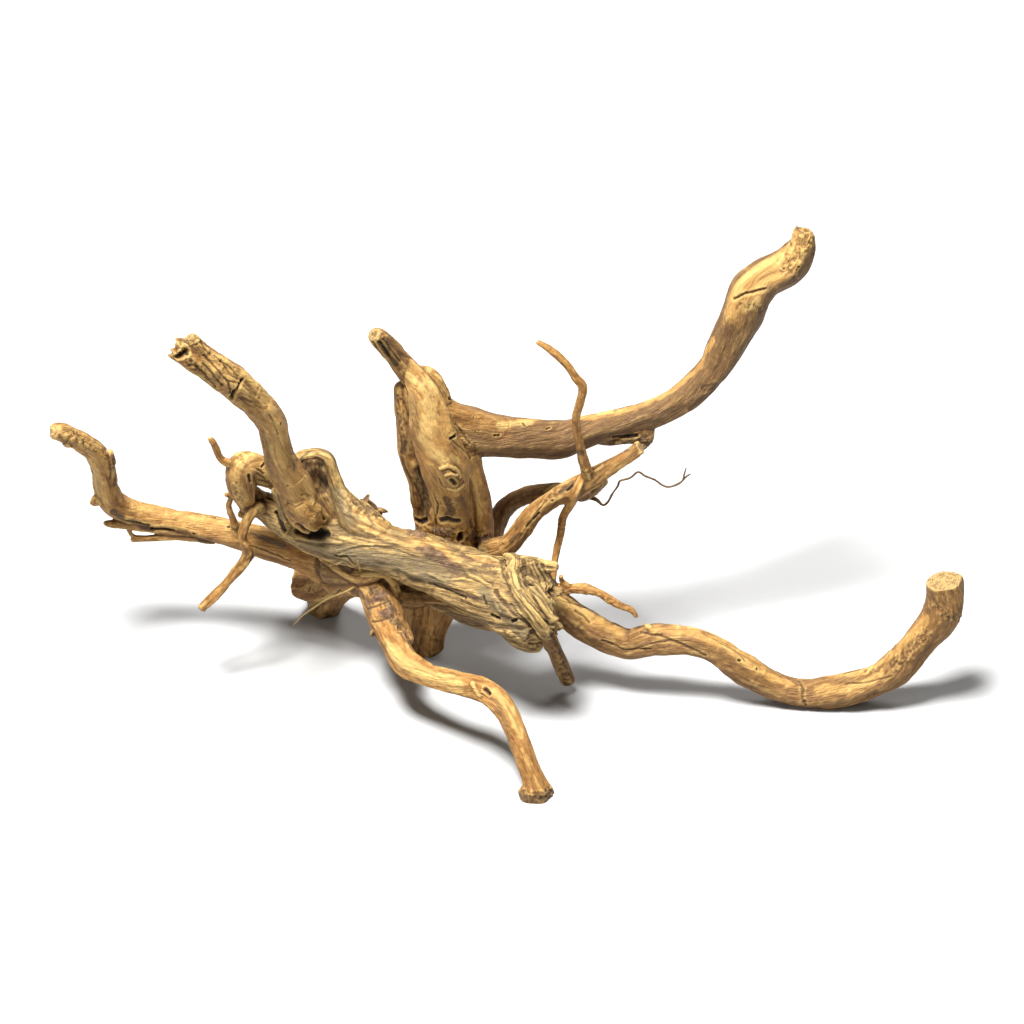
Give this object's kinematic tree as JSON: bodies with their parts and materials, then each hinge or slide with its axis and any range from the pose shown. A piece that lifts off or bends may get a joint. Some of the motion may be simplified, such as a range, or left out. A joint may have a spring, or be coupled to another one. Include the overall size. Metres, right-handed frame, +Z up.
{
  "type": "moor root",
  "caption": "Weathered, bleached moor root for decoration: a thick lying stock with a level foot, a short upright trunk, long curved arms, torn ends and thin side roots.",
  "frame": {"origin": "middle of the root's footprint, on the floor that it stands on", "axes": "+X to the right along the root's longest reach, +Y away from the side that is best seen, +Z up"},
  "size_m": [0.5486, 0.212, 0.2755],
  "materials": {
    "straw_wood": "dry, weathered, open grain",
    "tan_wood": "dry, weathered, open grain",
    "warm_wood": "dry, weathered, open grain",
    "dusky_wood": "dry, weathered, open grain"
  },
  "bodies": {
    "root": {"stock": "straw_wood", "trunk": "tan_wood", "crown_stub": "tan_wood", "upper_arm": "warm_wood", "lower_arm": "warm_wood", "horn": "tan_wood", "left_arm": "warm_wood", "left_foot": "dusky_wood", "crook": "tan_wood", "hanging_root": "warm_wood", "front_leg": "warm_wood", "middle_arm": "tan_wood", "loop_root": "dusky_wood", "rising_twig": "warm_wood", "bridge_twig": "tan_wood", "side_twig": "tan_wood", "peg_root": "dusky_wood", "root_hair": "dusky_wood", "stump_hair": "dusky_wood"}
  },
  "joints": []
}
